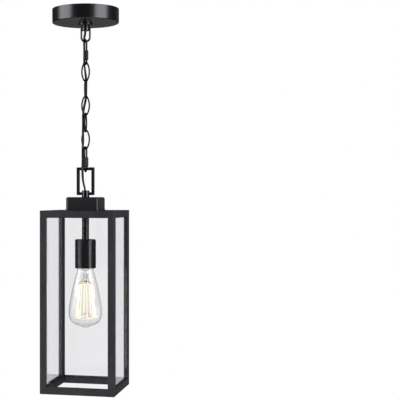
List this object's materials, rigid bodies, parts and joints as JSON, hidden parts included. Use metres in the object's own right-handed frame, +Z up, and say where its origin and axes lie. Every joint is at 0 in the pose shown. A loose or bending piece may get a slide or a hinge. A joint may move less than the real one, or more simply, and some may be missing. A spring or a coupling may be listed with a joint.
{
  "type": "hanging lantern",
  "caption": "Square glazed pendant lantern of black steel tube on a linked chain and ceiling canopy, with a pear-shaped filament bulb inside.",
  "frame": {"origin": "middle of the ceiling plane, on the axis of the mounting strap's hole", "axes": "+Z up into the ceiling, -Y towards the front pane, +X to the right seen from the front"},
  "size_m": [0.1504, 0.1504, 0.7677],
  "materials": {
    "black_powder_coat": "satin black powder coat",
    "zinc_plated_steel": "bright zinc plating",
    "green_ground_screw": "green anodised ground screw",
    "black_cord_jacket": "matt black vinyl jacket",
    "clear_pane_glass": "clear flat glass",
    "black_phenolic": "moulded insulating body",
    "brass": "plain brass sheet",
    "clear_bulb_glass": "clear blown glass",
    "nickel_plated_brass": "nickel plated brass",
    "black_bulb_insulator": "black glass bead",
    "solder": "tinned contact",
    "copper_wire": "thin copper-plated wire",
    "filament_coating": "cream filament strand"
  },
  "bodies": {
    "ceiling_canopy": {"canopy": "black_powder_coat", "mounting_strap": "zinc_plated_steel", "ground_screw": "green_ground_screw", "canopy_nipple": "zinc_plated_steel", "strap_nut": "zinc_plated_steel", "collar_ring": "black_powder_coat", "ceiling_loop": "black_powder_coat", "cord": "black_cord_jacket"},
    "top_quick_link": {"top_quick_link": "black_powder_coat"},
    "top_sleeve_nut": {"top_sleeve_nut": "black_powder_coat"},
    "chain_link_1": {"chain_link_1": "black_powder_coat"},
    "chain_link_2": {"chain_link_2": "black_powder_coat"},
    "chain_link_3": {"chain_link_3": "black_powder_coat"},
    "chain_link_4": {"chain_link_4": "black_powder_coat"},
    "chain_link_5": {"chain_link_5": "black_powder_coat"},
    "bottom_quick_link": {"bottom_quick_link": "black_powder_coat"},
    "bottom_sleeve_nut": {"bottom_sleeve_nut": "black_powder_coat"},
    "bail": {"bail": "black_powder_coat"},
    "lantern": {"loop_stud": "black_powder_coat", "cap": "black_powder_coat", "top_plate": "black_powder_coat", "lamp_pipe": "zinc_plated_steel", "stem_tube": "black_powder_coat", "pipe_nut": "zinc_plated_steel", "post_front_right": "black_powder_coat", "post_rear_right": "black_powder_coat", "post_rear_left": "black_powder_coat", "post_front_left": "black_powder_coat", "top_rail_front": "black_powder_coat", "top_rail_right": "black_powder_coat", "top_rail_rear": "black_powder_coat", "top_rail_left": "black_powder_coat", "bottom_rail_front": "black_powder_coat", "bottom_rail_right": "black_powder_coat", "bottom_rail_rear": "black_powder_coat", "bottom_rail_left": "black_powder_coat", "glass_front": "clear_pane_glass", "glass_right": "clear_pane_glass", "glass_rear": "clear_pane_glass", "glass_left": "clear_pane_glass", "glass_clips_top": "black_powder_coat", "glass_clips_bottom": "black_powder_coat", "socket_cup": "black_powder_coat", "lampholder_body": "black_phenolic", "lampholder_shell": "brass", "lampholder_contact": "brass"},
    "bulb": {"bulb_glass": "clear_bulb_glass", "bulb_screw_cap": "nickel_plated_brass", "bulb_insulator": "black_bulb_insulator", "bulb_tip_contact": "solder", "bulb_mount": "clear_bulb_glass", "filament_supports": "copper_wire", "filament": "filament_coating"}
  },
  "joints": [
    {"name": "top_quick_link_swing", "type": "hinge", "parent": "ceiling_canopy", "child": "top_quick_link", "pos_m": [0, 0, -0.0653], "axis": [1, 0, 0], "range_deg": [-20, 20], "deforming": ["cord"]},
    {"name": "chain_link_1_swing", "type": "hinge", "parent": "top_quick_link", "child": "chain_link_1", "pos_m": [0, 0, -0.111], "axis": [0, 1, 0], "range_deg": [-20, 20], "deforming": ["cord"]},
    {"name": "chain_link_2_swing", "type": "hinge", "parent": "chain_link_1", "child": "chain_link_2", "pos_m": [0, 0, -0.145], "axis": [1, 0, 0], "range_deg": [-20, 20], "deforming": ["cord"]},
    {"name": "chain_link_3_swing", "type": "hinge", "parent": "chain_link_2", "child": "chain_link_3", "pos_m": [0, 0, -0.17915], "axis": [0, 1, 0], "range_deg": [-20, 20], "deforming": ["cord"]},
    {"name": "chain_link_4_swing", "type": "hinge", "parent": "chain_link_3", "child": "chain_link_4", "pos_m": [0, 0, -0.2133], "axis": [1, 0, 0], "range_deg": [-20, 20], "deforming": ["cord"]},
    {"name": "chain_link_5_swing", "type": "hinge", "parent": "chain_link_4", "child": "chain_link_5", "pos_m": [0, 0, -0.24745], "axis": [0, 1, 0], "range_deg": [-20, 20], "deforming": ["cord"]},
    {"name": "bottom_quick_link_swing", "type": "hinge", "parent": "chain_link_5", "child": "bottom_quick_link", "pos_m": [0, 0, -0.2816], "axis": [1, 0, 0], "range_deg": [-20, 20], "deforming": ["cord"]},
    {"name": "bail_swing", "type": "hinge", "parent": "bottom_quick_link", "child": "bail", "pos_m": [0, 0, -0.3277], "axis": [0, 1, 0], "range_deg": [-25, 25], "deforming": ["cord"]},
    {"name": "lantern_tilt", "type": "hinge", "parent": "bail", "child": "lantern", "pos_m": [0, 0, -0.37246], "axis": [1, 0, 0], "range_deg": [-25, 25], "deforming": ["cord"]},
    {"name": "top_sleeve_travel", "type": "slide", "parent": "top_quick_link", "child": "top_sleeve_nut", "axis": [0, 0, 1], "range_m": [0, 0.0108]},
    {"name": "bottom_sleeve_travel", "type": "slide", "parent": "bottom_quick_link", "child": "bottom_sleeve_nut", "axis": [0, 0, 1], "range_m": [0, 0.0108]},
    {"name": "bulb_removal", "type": "slide", "parent": "lantern", "child": "bulb", "axis": [0, 0, -1], "range_m": [0, 0.028]}
  ]
}
